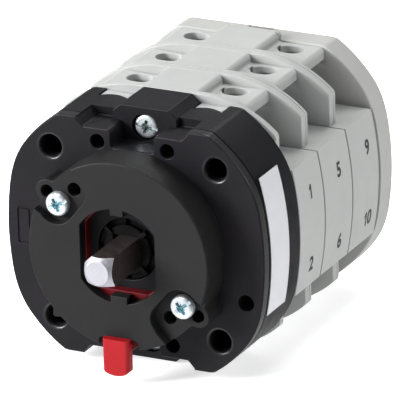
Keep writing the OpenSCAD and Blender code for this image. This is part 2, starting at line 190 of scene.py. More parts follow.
def prism(p, lo, hi, blo=0.0, bhi=0.0, axis="Y", seg=4):
    """Solid between lo and hi along axis. blo and bhi round the end edges: over 0 for a solid, under 0 to flare a cutter's mouth."""
    p = ccw(clean(p))
    rings = []
    if blo < 0:
        rings.append((-blo, lo - 1.0))
    if blo:
        for i in range(seg + 1):
            f = PI / 2 * i / seg
            rings.append((-blo * (1 - math.sin(f)), lo + abs(blo) * (1 - math.cos(f))))
    else:
        rings.append((0.0, lo))
    if bhi:
        for i in range(seg, -1, -1):
            f = PI / 2 * i / seg
            rings.append((-bhi * (1 - math.sin(f)), hi - abs(bhi) * (1 - math.cos(f))))
    else:
        rings.append((0.0, hi))
    if bhi < 0:
        rings.append((-bhi, hi + 1.0))
    f3, verts, faces, n = MAP[axis], [], [], len(p)
    for off, w in rings:
        verts += [f3(u, v, w) for u, v in grow(p, off)]
    for k in range(len(rings) - 1):
        for i in range(n):
            j = (i + 1) % n
            faces.append((k * n + i, k * n + j, (k + 1) * n + j, (k + 1) * n + i))
    faces.append(tuple(range(n - 1, -1, -1)))
    faces.append(tuple(range((len(rings) - 1) * n, len(rings) * n)))
    return mesh_object(verts, faces)


def lathe(prof, axis="Y", at=(0.0, 0.0), n=48):
    """Turned solid. prof is a list of (radius, position along axis)."""
    f3, verts, faces, rings = MAP[axis], [], [], []
    for r, w in prof:
        if r < 1e-6:
            rings.append([len(verts)]); verts.append(f3(at[0], at[1], w))
        else:
            k = len(verts)
            rings.append(list(range(k, k + n)))
            verts += [f3(at[0] + r * math.cos(2 * PI * i / n), at[1] + r * math.sin(2 * PI * i / n), w) for i in range(n)]
    for a, b in zip(rings, rings[1:]):
        for i in range(n):
            j = (i + 1) % n
            if len(a) == 1 and len(b) == 1:
                continue
            if len(a) == 1:
                faces.append((a[0], b[j], b[i]))
            elif len(b) == 1:
                faces.append((a[i], a[j], b[0]))
            else:
                faces.append((a[i], a[j], b[j], b[i]))
    if len(rings[0]) > 1:
        faces.append(tuple(rings[0][::-1]))
    if len(rings[-1]) > 1:
        faces.append(tuple(rings[-1]))
    return mesh_object(verts, faces)


def boxp(a, b):
    return [(a[0], a[1]), (b[0], a[1]), (b[0], b[1]), (a[0], b[1])]


def block(x0, x1, y0, y1, z0, z1, r=0.0):
    if r:
        return prism(rounded(boxp((x0, z0), (x1, z1)), r, 3), y0, y1, r, r, "Y", 3)
    return prism(boxp((x0, z0), (x1, z1)), y0, y1)


def boolean(a, b, op="DIFFERENCE", solver="MANIFOLD"):
    m = a.modifiers.new("b", "BOOLEAN")
    m.operation, m.object = op, b
    try:
        m.solver = solver
    except TypeError:
        m.solver = "EXACT"
    dg = bpy.context.evaluated_depsgraph_get()
    new = bpy.data.meshes.new_from_object(a.evaluated_get(dg))
    if not len(new.polygons) and op != "INTERSECT" and solver != "EXACT":
        a.modifiers.remove(m)
        return boolean(a, b, op, "EXACT")
    a.modifiers.remove(m)
    old = a.data
    a.data = new
    bpy.data.meshes.remove(old)
    ob, bpy_me = b, b.data
    bpy.data.objects.remove(ob)
    bpy.data.meshes.remove(bpy_me)
    return a


def cut(a, *bs):
    for b in bs:
        boolean(a, b, "DIFFERENCE")
    return a


def add(a, *bs):
    for b in bs:
        boolean(a, b, "UNION")
    return a


def clone(ob, m=None):
    me = ob.data.copy()
    if m is not None:
        me.transform(m)
        if m.determinant() < 0:
            me.flip_normals()
    o = bpy.data.objects.new(ob.name, me)
    COL.objects.link(o)
    return o


HALF = Matrix.Rotation(PI, 4, "Y")
MX = Matrix.Scale(-1, 4, (1, 0, 0))
MZ = Matrix.Scale(-1, 4, (0, 0, 1))


def four(ob):
    """The piece and its mirror images in the other three quadrants of x and z."""
    return [ob, clone(ob, MX), clone(ob, MZ), clone(ob, MX @ MZ)]


def both(ob):
    """The piece and its mirror image below."""
    return [ob, clone(ob, MZ)]


def turned(ob):
    """The piece and its copy turned half round the shaft."""
    return [ob, clone(ob, HALF)]


def join(obs, name="joined"):
    bm = bmesh.new()
    for o in obs:
        bm.from_mesh(o.data)
    me = bpy.data.meshes.new(name)
    bm.to_mesh(me)
    bm.free()
    for o in obs:
        d = o.data
        bpy.data.objects.remove(o)
        bpy.data.meshes.remove(d)
    ob = bpy.data.objects.new(name, me)
    COL.objects.link(ob)
    return ob


def shade(me, angle):
    """Corner normals: soft over rounded edges, exactly flat on large flat faces."""
    bm = bmesh.new()
    bm.from_mesh(me)
    bm.faces.ensure_lookup_table()
    bm.faces.index_update()
    nf = len(bm.faces)
    nor = [f.normal.copy() for f in bm.faces]
    parent = list(range(nf))

    def root(i):
        while parent[i] != i:
            parent[i] = parent[parent[i]]
            i = parent[i]
        return i

    flat, limit = math.cos(math.radians(0.6)), math.cos(math.radians(angle))
    for e in bm.edges:
        if len(e.link_faces) == 2:
            a, b = e.link_faces
            d = nor[a.index].dot(nor[b.index])
            if d > flat:
                parent[root(a.index)] = root(b.index)
            e.tag = d >= limit
        else:
            e.tag = False
    size = [0.0] * nf
    for f in bm.faces:
        size[root(f.index)] += f.calc_area()
    out = [None] * sum(len(f.loops) for f in bm.faces)
    pos, k = {}, 0
    for f in bm.faces:
        for l in f.loops:
            pos[(f.index, l.vert.index)] = k
            k += 1
    for v in bm.verts:
        left = {f.index: f for f in v.link_faces}
        while left:
            i0, f0 = left.popitem()
            group, todo = [f0], [f0]
            while todo:
                f = todo.pop()
                for e in f.edges:
                    if e.tag and (e.verts[0] is v or e.verts[1] is v):
                        for g in e.link_faces:
                            if g.index in left:
                                del left[g.index]
                                group.append(g)
                                todo.append(g)
            n = Vector((0, 0, 0))
            seen = set()
            big = max(max(size[root(f.index)] for f in group), 1e-9)
            for f in group:
                r = root(f.index)
                if r not in seen:
                    seen.add(r)
                    n += nor[f.index] * (size[r] / big) ** 3
            n = n.normalized() if n.length > 1e-12 else nor[i0]
            for f in group:
                out[pos[(f.index, v.index)]] = tuple(n)
    bm.free()
    me.shade_smooth()
    me.set_sharp_from_angle(angle=math.radians(angle))
    me.normals_split_custom_set(out)


def tidy(me):
    """Merge the thin triangles that a boolean leaves on flat faces."""
    bm = bmesh.new()
    bm.from_mesh(me)
    bmesh.ops.remove_doubles(bm, verts=bm.verts, dist=2e-5)
    bmesh.ops.dissolve_degenerate(bm, edges=bm.edges, dist=1e-5)
    bmesh.ops.dissolve_limit(bm, angle_limit=math.radians(0.15), verts=bm.verts, edges=bm.edges)
    bm.to_mesh(me)
    bm.free()


def place(ob, name, body, mats, nodes=(), angle=32, pick=None):
    """Scale to metres, shade, give materials, and tie to the frame."""
    ob.name = name
    me = ob.data
    me.name = name
    tidy(me)
    me.materials.clear()
    for m in mats:
        me.materials.append(m)
    if pick:
        for f in me.polygons:
            f.material_index = pick(f.center, f.normal)
    else:
        for f in me.polygons:
            f.material_index = 0
    shade(me, angle)
    me.transform(Matrix.Scale(0.001, 4))
    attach(ob, body)
    if nodes:
        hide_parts(*nodes)
    return ob


# ------------------------------------------------------------------ materials
def nodes_of(mat):
    mat.use_nodes = True
    nt = mat.node_tree
    nt.nodes.clear()
    out = nt.nodes.new("ShaderNodeOutputMaterial")
    bsdf = nt.nodes.new("ShaderNodeBsdfPrincipled")
    nt.links.new(bsdf.outputs[0], out.inputs[0])
    return nt, bsdf


def noise(nt, scale, detail=3.0, rough=0.5, stretch=None):
    tc = nt.nodes.new("ShaderNodeTexCoord")
    mp = nt.nodes.new("ShaderNodeMapping")
    mp.inputs["Scale"].default_value = stretch or (1, 1, 1)
    nt.links.new(tc.outputs["Object"], mp.inputs["Vector"])
    n = nt.nodes.new("ShaderNodeTexNoise")
    n.inputs["Scale"].default_value = scale
    n.inputs["Detail"].default_value = detail
    n.inputs["Roughness"].default_value = rough
    nt.links.new(mp.outputs[0], n.inputs["Vector"])
    return n.outputs["Fac"]


def ramp(nt, fac, stops):
    r = nt.nodes.new("ShaderNodeValToRGB")
    e = r.color_ramp.elements
    e[0].position, e[0].color = stops[0][0], (*stops[0][1], 1)
    e[1].position, e[1].color = stops[-1][0], (*stops[-1][1], 1)
    for p, c in stops[1:-1]:
        x = e.new(p)
        x.color = (*c, 1)
    nt.links.new(fac, r.inputs[0])
    return r.outputs[0]


def remap(nt, fac, a, b, lo=0.3, hi=0.7):
    m = nt.nodes.new("ShaderNodeMapRange")
    m.inputs["From Min"].default_value, m.inputs["From Max"].default_value = lo, hi
    m.inputs["To Min"].default_value, m.inputs["To Max"].default_value = a, b
    nt.links.new(fac, m.inputs["Value"])
    return m.outputs[0]


def bump(nt, bsdf, layers):
    """Stack of height textures: (fac, strength, distance in metres)."""
    prev = None
    for fac, strength, dist in layers:
        b = nt.nodes.new("ShaderNodeBump")
        b.inputs["Strength"].default_value = strength
        b.inputs["Distance"].default_value = dist
        nt.links.new(fac, b.inputs["Height"])
        if prev is not None:
            nt.links.new(prev, b.inputs["Normal"])
        prev = b.outputs[0]
    nt.links.new(prev, bsdf.inputs["Normal"])


def scaled(c, k):
    return tuple(min(1.0, x * k) for x in c)


def plastic(name, color, rough=0.5, spec=0.3, grain=0.35, vary=0.06, warm=(0, 0, 0), sheen=0.0, sss=0.0, coat=0.0, cell=0.35):
    """Moulded plastic: fine spark-eroded grain, cloudy colour and gloss."""
    mat = bpy.data.materials.new(name)
    nt, bs = nodes_of(mat)
    cloud = noise(nt, 95, 4, 0.55)
    col = ramp(nt, cloud, [(0.30, scaled(color, 1 - vary)), (0.52, color), (0.72, tuple(min(1, c * (1 + vary) + w) for c, w in zip(color, warm)))])
    nt.links.new(col, bs.inputs["Base Color"])
    gloss = noise(nt, 260, 3, 0.6)
    nt.links.new(remap(nt, gloss, max(0.05, rough - 0.07), min(1.0, rough + 0.08)), bs.inputs["Roughness"])
    bs.inputs["Specular IOR Level"].default_value = spec
    if coat:
        bs.inputs["Coat Weight"].default_value = coat
        bs.inputs["Coat Roughness"].default_value = 0.25
    if sss:
        bs.inputs["Subsurface Weight"].default_value = sss
        bs.inputs["Subsurface Radius"].default_value = (1.0, 0.95, 0.9)
        bs.inputs["Subsurface Scale"].default_value = 0.0006
    if sheen:
        bs.inputs["Sheen Weight"].default_value = sheen
        bs.inputs["Sheen Roughness"].default_value = 0.5
    fine = noise(nt, 1.0 / (cell * 0.001), 2, 0.6)
    wavy = noise(nt, 120, 2, 0.5)
    bump(nt, bs, [(wavy, 0.10, 0.0006), (fine, grain, 0.00006)])
    return mat


def metal(name, color, rough=0.28, vary=0.08, stretch=None, scale=900, strength=0.25, tint=None, spots=0.0, metallic=1.0):
    """Metal with drawn or turned marks, patchy tone and gloss."""
    mat = bpy.data.materials.new(name)
    nt, bs = nodes_of(mat)
    cloud = noise(nt, 330, 4, 0.6)
    stops = [(0.30, scaled(color, 1 - vary)), (0.55, color), (0.75, tint or scaled(color, 1 + vary))]
    col = ramp(nt, cloud, stops)
    nt.links.new(col, bs.inputs["Base Color"])
    bs.inputs["Metallic"].default_value = metallic
    marks = noise(nt, scale, 3, 0.6, stretch)
    nt.links.new(remap(nt, marks, max(0.04, rough - 0.1), min(1, rough + 0.12)), bs.inputs["Roughness"])
    bump(nt, bs, [(marks, strength, 0.00003)])
    return mat


HOUSING_BLACK = plastic("housing_black", (0.0088, 0.0081, 0.0104), rough=0.43, spec=0.165, grain=0.5, vary=0.14, warm=(0.0008, 0, 0.0004))
HOUSING_RIM = plastic("housing_black_rim", (0.0125, 0.0125, 0.0135), rough=0.30, spec=0.42, grain=0.35, vary=0.12)
TURRET_BLACK = plastic("turret_black", (0.0130, 0.0130, 0.0137), rough=0.52, spec=0.155, grain=0.50, vary=0.05)
INNER_BLACK = plastic("inner_black", (0.0040, 0.0036, 0.0039), rough=0.42, spec=0.10, grain=0.3, vary=0.12)
GREY = plastic("deck_grey", (0.378, 0.386, 0.381), rough=0.52, spec=0.32, grain=0.30, vary=0.018, sss=0.08, warm=(0.003, 0.003, 0.0))
GREY_B = plastic("deck_grey_rear", (0.372, 0.374, 0.362), rough=0.52, spec=0.32, grain=0.30, vary=0.018, sss=0.08)
RED = plastic("release_red", (0.285, 0.0022, 0.0060), rough=0.36, spec=0.26, grain=0.15, vary=0.08, sss=0.05)
# darker copy of the release red: painted shade on the slide's frame and stem behind the turret face
RED_PAINTED_SHADE = plastic("release_red_inner_painted_shade", (0.105, 0.0028, 0.0055), rough=0.45, spec=0.20, grain=0.15, vary=0.10)
IVORY = plastic("index_ivory", (0.62, 0.57, 0.45), rough=0.45, spec=0.4, grain=0.2, vary=0.03, sss=0.1)
CAM_GREY = plastic("cam_dark", (0.055, 0.056, 0.060), rough=0.45, spec=0.4, grain=0.25, vary=0.08)
# darker grey for the deck joints: painted shade on the panel edges in the seams
SEAM_PAINTED_SHADE = plastic("deck_grey_seam_painted_shade", (0.215, 0.214, 0.203), rough=0.6, spec=0.2, grain=0.3, vary=0.02)
LABEL = plastic("label_paper", (0.525, 0.535, 0.555), rough=0.62, spec=0.25, grain=0.25, vary=0.025, cell=0.12)
INK = plastic("number_ink", (0.040, 0.041, 0.043), rough=0.6, spec=0.2, grain=0.2, vary=0.15, cell=0.1)
ZINC = metal("zinc_bright", (0.74, 0.79, 0.83), rough=0.34, vary=0.08, scale=1500, strength=0.14, tint=(0.84, 0.88, 0.91), metallic=0.72)
ZINC_CROSS = metal("zinc_recess", (0.30, 0.52, 0.60), rough=0.42, vary=0.15, scale=1500, strength=0.2, metallic=0.75)
ZINC_CROSS_B = metal("zinc_recess_tie", (0.28, 0.35, 0.35), rough=0.42, vary=0.20, scale=1500, strength=0.2, metallic=0.75)
SHAFT_END = metal("shaft_end", (0.60, 0.595, 0.65), rough=0.42, vary=0.05, scale=2600, strength=0.4, metallic=0.85)
# dark brown of the square bar: painted shade of the steel inside the window; the turned end keeps the bright steel
SHAFT_BAR_PAINTED_SHADE = metal("shaft_bar_painted_shade", (0.090, 0.073, 0.070), rough=0.44, vary=0.08, scale=700, strength=0.25, metallic=0.8)
# dark tone of the tie nuts: painted shade for the open nut seats in the rear cover
NUT_PAINTED_SHADE = metal("nut_dark_painted_shade", (0.16, 0.16, 0.165), rough=0.42, scale=1200)
SPRING = metal("spring_wire", (0.42, 0.42, 0.44), rough=0.3, scale=1800)
SHEET = metal("plate_steel", (0.56, 0.56, 0.57), rough=0.35, scale=1200)
COPPER = metal("contact_copper", (0.80, 0.46, 0.28), rough=0.3, scale=1200, tint=(0.88, 0.62, 0.46))
BRASS = metal("contact_brass", (0.80, 0.62, 0.28), rough=0.3, scale=1200)

# ------------------------------------------------------------------ camera
AZ, EL, ROLL, DIST, FOCAL, CX, CZ = 26.431, 21.21, -1.62, 1513.777, 7704.69, 12.999, 8.229
az, el, ro = (math.radians(v) for v in (AZ, EL, ROLL))
back = Vector((math.sin(az) * math.cos(el), -math.cos(az) * math.cos(el), math.sin(el)))
right = Vector((math.cos(az), math.sin(az), 0.0))
up = back.cross(right)
r2 = math.cos(ro) * right + math.sin(ro) * up
u2 = -math.sin(ro) * right + math.cos(ro) * up
eye = (CX * right + CZ * up + DIST * back) * 0.001
cam = bpy.data.cameras.new("camera")
cam.sensor_width = 36.0
cam.sensor_fit = "HORIZONTAL"
cam.lens = FOCAL * 36.0 / 400.0
cam.clip_start, cam.clip_end = 0.05, 20.0
cam_ob = bpy.data.objects.new("camera", cam)
COL.objects.link(cam_ob)
cam_ob.matrix_world = Matrix(((r2.x, u2.x, back.x, eye.x), (r2.y, u2.y, back.y, eye.y), (r2.z, u2.z, back.z, eye.z), (0, 0, 0, 1)))
SCENE.camera = cam_ob

# ------------------------------------------------------------------ housing
def build_housing():
    h = prism(outline(), 0, HOUSING_END, 0.42, 0.22, "Y", 5)
    # groove behind the flange plate
    ring = prism(grow(outline(), 1.5), 2.25, 2.62)
    boolean(ring, prism(grow(outline(), -0.32), 1.0, 4.0), "DIFFERENCE")
    cut(h, ring)
    # front recess at top and bottom, sloping ends
    rec = rounded([(-12.15, 24.8), (-10.75, 23.25), (10.75, 23.25), (12.15, 24.8), (12.5, 29), (-12.5, 29)], [0.5, 0.4, 0.4, 0.5, 0, 0], 4)
    cut(h, *both(prism(rec, 0, 6.9, -0.4, 0.25, "Y")))
    # tongue with sloping sides
    tong = rounded([(-7.1, 20), (7.1, 20), (7.1, 25.05), (5.25, DECK_H), (-5.25, DECK_H), (-7.1, 25.05)], [0, 0, 0.5, 0.5, 0.5, 0.5], 5)
    add(h, *both(prism(tong, 5.8, HOUSING_END - 0.02, 0.28, 0.3, "Y")))
    # channel of the tie screw
    chan = [(-4.7, 20.1), (-4.5, 19.6), (-4.1, 19.5), (4.1, 19.5), (4.5, 19.6), (4.7, 20.1), (4.7, 22.35)] + arc(5.6, 22.35, 0.9, 180, 90, 8)[1:] + [(5.6, 31), (-5.6, 31)] + arc(-5.6, 22.35, 0.9, 90, 0, 8)
    cut(h, *both(prism(chan, 0, 5.8, -0.3, 0, "Y")))
    cut(h, *both(prism(circle(2.78, 0, TIE_Z, 40), 4.0, 8.2)))
    cut(h, *both(prism(circle(1.65, 0, TIE_Z, 32), 7.0, 17.5)))
    # rear notches around the rounded bosses
    a = math.degrees(math.asin(2.4 / 3.9))
    notch = [(7.12, 12.35)] + arc(10.25, 10.0, 3.9, 180 - a, a, 16) + [(13.5, 12.35), (13.5, 18), (7.12, 18)]
    nt = prism(notch, 21.9, 25.1, 0, -0.15, "Z")
    cut(h, *four(nt))
    # mounting holes with a wider pocket behind the plate
    cut(h, *four(prism(circle(2.3, 18, 18, 64), 0, 13, -0.62, 0, "Y", 8)))
    cut(h, *four(prism(circle(3.3, 18, 18, 56), 2.8, 12)))
    cut(h, *four(prism(circle(1.5, 7.6, 20.4, 36), 0, 6, -0.18, 0, "Y")))
    cut(h, prism(circle(1.65, 23.9, -9.0, 40), 0, 5, -0.22, 0, "Y"))
    cut(h, *turned(prism(circle(1.6, -13.35, 8.9, 32), -1, 9)))
    # shallow slot at the left
    slot = prism(rounded(boxp((-25.8, -3.5), (-22.95, 4.2)), 0.6), 0, 0.22, -0.12, 0, "Y")
    boolean(slot, prism(rounded(boxp((-25.38, -3.08), (-23.37, 3.78)), 0.4), -2, 1.0, 0, 0, "Y"), "DIFFERENCE")
    cut(h, slot)
    # bore, chamber of the index wheel, plunger ways, seat of the stop plate
    add(h, prism(circle(10.6, 0, 0, 96), -3.2, 1.0, 0.2, 0, "Y"))
    cut(h, prism(circle(6.46, 0, 0, 72), -3.2, 5.5, -0.15, 0, "Y"))
    cut(h, prism(circle(13.6, 0, 0, 96), 5.0, 18.0))
    cut(h, prism(boxp((-25.2, -3.65), (25.2, 3.65)), 5.6, 18.0))
    cut(h, prism(circle(20.3, 0, 0, 96), 14.3, 18.0))
    return h


def housing_pick(c, n):
    r = math.hypot(abs(c.x) - 18, abs(c.z) - 18)
    if c.y < 0.75 and 2.25 < r < 2.95:
        return 1
    return 1 if (c.y < 2.3 and abs(n.y) < 0.5 and math.hypot(c.x, c.z) > 26) else 0


place(build_housing(), "housing_shell", "casing", [HOUSING_BLACK, HOUSING_RIM], ["mechanism_housing"], 32, housing_pick)


# ------------------------------------------------------------------ turret
def ear_contour(r_disc, e, r_ear, rho):
    """Disc outline with a rounded ear at e and its copy turned half round, blended by radius rho."""
    ex, ez = e
    d = math.hypot(ex, ez)
    ae = math.atan2(ez, ex)
    a, b = r_disc + rho, r_ear + rho
    ca = (a * a + d * d - b * b) / (2 * a * d)
    da = math.acos(ca)
    pts = []
    for half in (0, 1):
        base = ae + PI * half
        E = (d * math.cos(base), d * math.sin(base))
        for side in (-1, 1):
            an = base + side * da
            C = (a * math.cos(an), a * math.sin(an))
            t_disc = math.atan2(-C[1], -C[0])          # direction from C to the disc centre
            t_ear = math.atan2(E[1] - C[1], E[0] - C[0])
            dd = (t_ear - t_disc + PI) % (2 * PI) - PI
            f = [(C[0] + rho * math.cos(t_disc + dd * i / 8), C[1] + rho * math.sin(t_disc + dd * i / 8)) for i in range(9)]
            if side < 0:
                first = f
            else:
                second = f[::-1]
        a0 = math.atan2(first[-1][1] - E[1], first[-1][0] - E[0])
        a1 = math.atan2(second[0][1] - E[1], second[0][0] - E[0])
        dd = (a1 - a0) % (2 * PI)
        ear = [(E[0] + r_ear * math.cos(a0 + dd * i / 24), E[1] + r_ear * math.sin(a0 + dd * i / 24)) for i in range(1, 24)]
        pts.append((first, ear, second))
    out = []
    for k in (0, 1):
        first, ear, second = pts[k]
        out += first + ear + second
        nxt = pts[(k + 1) % 2][0][0]
        s0 = math.atan2(second[-1][1], second[-1][0])
        s1 = math.atan2(nxt[1], nxt[0])
        dd = (s1 - s0) % (2 * PI)
        m = 60
        out += [(r_disc * math.cos(s0 + dd * i / m), r_disc * math.sin(s0 + dd * i / m)) for i in range(1, m)]
    return ccw(clean(out))


def pocket_contour():
    """Ear pocket of the upper left: two blended circles, open towards the rim."""
    c1, r1, c2, r2_ = (-10.1, 11.9), 3.3, (-13.35, 8.9), 3.9
    pts = [(-24, 20), (-24.0, 10.9), (-18.6, 7.95)]
    pts += [(-17.2, 7.05)] + arc(c2[0], c2[1], r2_, 212, 318, 18)
    pts += arc(c1[0], c1[1], r1, 322, 398, 12)
    pts += [(-8.05, 14.95), (-10.2, 17.2), (-14.0, 24.0)]
    return ccw(clean(pts))


def window_contour():
    R, hx = 9.9, 8.15
    hz = math.sqrt(R * R - hx * hx)
    a0 = math.degrees(math.atan2(hz, hx))
    at = math.degrees(math.acos(1.4 / R))
    ab = math.degrees(math.acos(1.8 / R))
    p = [(hx, -hz), (hx, hz)] + arc(0, 0, R, a0, at, 14)[1:]
    p += [(1.4, 8.55), (-1.4, 8.55)] + arc(0, 0, R, 180 - at, 180 - a0, 14)
    p += [(-hx, -hz)] + arc(0, 0, R, 180 + a0, 180 + ab, 14)[1:]
    p += [(-1.8, -8.3), (1.8, -8.3)] + arc(0, 0, R, 360 - ab, 360 - a0, 14)[:-1]
    return ccw(clean(p))


def build_turret():
    t = prism(circle(19.6, 0, 0, 192), -7.8, 0, 0.46, 0.0, "Y", 5)
    for pk in turned(prism(pocket_contour(), -7.8, EAR_Y, -0.22, 0, "Y", 4)):
        cut(t, pk)
    ears = prism(ear_contour(19.62, (-16.2, 10.9), 2.4, 1.3), EAR_Y - 0.02, 0, 0.3, 0.0, "Y", 4)
    keep = turned(prism(grow(pocket_contour(), 0.7), -9, 2))
    keep = join(keep)
    boolean(ears, keep, "INTERSECT")
    add(t, ears)
    # pointer nub on the rim
    nub = rounded([(-19.0, 1.5), (-20.55, 0.3), (-20.55, -0.3), (-19.0, -1.5)], 0.2, 3)
    nb = prism(nub, -7.75, -4.2, 0.25, 0.25, "Y", 3)
    nb.data.transform(Matrix.Rotation(-math.radians(45), 4, "Y"))
    add(t, nb)
    cut(t, prism(window_contour(), -7.8, -5.0, -0.16, 0, "Y", 3))
    # room behind the window for the slide and the springs
    room = prism(circle(10.9, 0, 0, 96), -5.5, 1)
    low = prism(circle(10.9, 0, -2.1, 96), -5.5, 1)
    cut(low, prism(boxp((-20, 0), (20, 20)), -9, 9))
    add(room, low)
    cut(t, room)
    cut(t, prism(boxp((-5.9, -16.4), (5.9, -10.4)), -6.2, 1))
    cut(t, prism(boxp((-3.0, -21), (3.0, -10)), -5.5, 1))
    cut(t, prism(rounded(boxp((-4.6, -22.5), (3.9, -17.4)), [0, 0, 0.6, 0.6]), -7.8, 1, -0.2, 0, "Y", 3))
    for k, (x, z, r, lo) in enumerate([(-10.1, 12.0, 1.4, -0.9), (-16.15, 10.8, 1.35, -0.9), (-13.35, 8.9, 1.6, 1.0)]):
        cut(t, *turned(prism(circle(r, x, z, 36), EAR_Y - 0.02, lo, -0.12, 0, "Y", 3)))
    return t


place(build_turret(), "turret_body", "casing", [TURRET_BLACK], ["front_turret"])


# ------------------------------------------------------------------ screws
def cross_recess(depth, twist=0.0, s=1.0):
    """Cutter for a cross recess: two tapered blades and a small four-point star."""
    parts = []
    for a in (0, 90):
        w, l = 0.36 * s, 1.42 * s
        top = [(-l, -w), (l, -w), (l, w), (-l, w)]
        bot = [(-l * 0.62, -w * 0.55), (l * 0.62, -w * 0.55), (l * 0.62, w * 0.55), (-l * 0.62, w * 0.55)]
        verts = [(x, -1.0, z) for x, z in top] + [(x, 0.15, z) for x, z in top] + [(x, depth, z) for x, z in bot]
        faces = [(0, 1, 2, 3), (11, 10, 9, 8)]
        for k in (0, 4):
            for i in range(4):
                j = (i + 1) % 4
                faces.append((k + i, k + j, k + j + 4, k + i + 4))
        b = mesh_object(verts, faces)
        b.data.transform(Matrix.Rotation(math.radians(a), 4, "Y"))
        parts.append(b)
    c = parts[0]
    add(c, parts[1])
    for a in (45, 135):
        w, l = 0.13 * s, 1.0 * s
        star = prism(boxp((-l, -w), (l, w)), -1.0, 0.32)
        star.data.transform(Matrix.Rotation(math.radians(a), 4, "Y"))
        add(c, star)
    c.data.transform(Matrix.Rotation(math.radians(twist), 4, "Y"))
    return c


def pan_head(x, z, y, r, t, shank_r, end, twist, s=1.0):
    """Pan head screw along Y: head from y to y + t, then the shank up to end."""
    prof = [(0.0, y), (r * 0.35, y + 0.02), (r * 0.62, y + 0.09)] + [
        (r * 0.62 + r * 0.38 * math.sin(PI / 2 * i / 8), y + 0.09 + (t * 0.42) * (1 - math.cos(PI / 2 * i / 8))) for i in range(1, 9)]
    prof += [(r, y + t - 0.25), (r - 0.07, y + t - 0.07), (r - 0.25, y + t), (shank_r, y + t), (shank_r, end - 0.4), (shank_r - 0.35, end), (0.0, end)]
    sc = lathe(prof, "Y", (0.0, 0.0), 56)
    c = cross_recess(1.15, twist, s)
    c.data.transform(Matrix.Translation((0, y, 0)))
    cut(sc, c)
    sl = prism(rounded(boxp((-4, -0.30), (4, 0.30)), 0.02), y - 1, y + 0.62, 0, 0)
    sl.data.transform(Matrix.Rotation(math.radians(twist), 4, "Y"))
    cut(sc, sl)
    sc.data.transform(Matrix.Translation((x, 0, z)))
    return sc


def recess_pick(points, y_top, depth):
    def pick(c, n):
        for px, pz in points:
            d = math.hypot(c.x - px, c.z - pz)
            if d < 1.75 and y_top + 0.05 < c.y < y_top + depth + 0.4 and (abs(n.y) < 0.90 or d < 0.9) and c.y > y_top + 0.12:
                return 1
        return 0
    return pick


scr = [pan_head(-13.35, 8.9, -7.68, 2.45, 1.9, 1.35, 5.2, -26), pan_head(13.35, -8.9, -7.68, 2.45, 1.9, 1.35, 5.2, -38)]
place(join(scr), "turret_screw_pair", "casing", [ZINC, ZINC_CROSS], ["turret_screws"], 40,
      recess_pick([(-13.35, 8.9), (13.35, -8.9)], -7.68, 1.2))
scr = [pan_head(0, TIE_Z, 6.0, 2.6, 2.0, 1.45, COVER[1] - 0.8, 10), pan_head(0, -TIE_Z, 6.0, 2.6, 2.0, 1.45, COVER[1] - 0.8, 30)]
place(join(scr), "tie_screw_pair", "casing", [ZINC, ZINC_CROSS_B], ["tie_screws"], 40,
      recess_pick([(0, TIE_Z), (0, -TIE_Z)], 6.0, 1.2))


# ------------------------------------------------------------------ shaft and hub
def build_shaft():
    end = COVER[1] - 2.0
    bar = prism(rounded(boxp((-3, -3), (3, 3)), 0.2, 3), -16.9, end, 0.0, 0.25, "Y", 3)
    cut(bar, prism([(-1.45, 3.05), (-3.05, 1.45), (-3.5, 3.5)], -18, -2.1))
    tip = lathe([(2.42, -16.9), (2.52, -16.84), (2.58, -16.74), (4.45, -14.75), (4.45, end + 1.0)], "Y", (0, 0), 96)
    boolean(bar, tip, "INTERSECT")
    return bar


# the end face and its chamfer take the bright steel, the rest of the bar the painted shade
place(build_shaft(), "square_shaft", "rotor", [SHAFT_BAR_PAINTED_SHADE, SHAFT_END], ["drive_shaft"], 25,
      lambda c, n: 1 if (c.y < -16.5 or (c.y < -13.9 and abs(n.y) > 0.25)) else 0)


def build_hub():
    h = lathe([(6.2, -2.6), (6.4, -2.4), (6.4, 5.7), (6.2, 5.9)], "Y", (0, 0), 96)
    add(h, lathe([(5.0, -3.6), (5.2, -3.4), (5.2, -2.0), (4.9, -2.0)][:3] + [(5.2, 0.0)], "Y", (0, 0), 96))
    for k in range(4):
        rib = block(4.4, 6.25, -4.2, -2.0, -0.45, 0.45, 0.1)
        rib.data.transform(Matrix.Rotation(math.radians(45 + 90 * k), 4, "Y"))
        add(h, rib)
        slot = block(4.9, 6.6, -3.1, -1.9, -0.5, 0.5)
        slot.data.transform(Matrix.Rotation(math.radians(90 * k), 4, "Y"))
        cut(h, slot)
    cut(h, prism(boxp((-3.05, -3.05), (3.05, 3.05)), -5, 7))
    return h


place(build_hub(), "shaft_hub", "rotor", [INNER_BLACK], ["front_hub"])


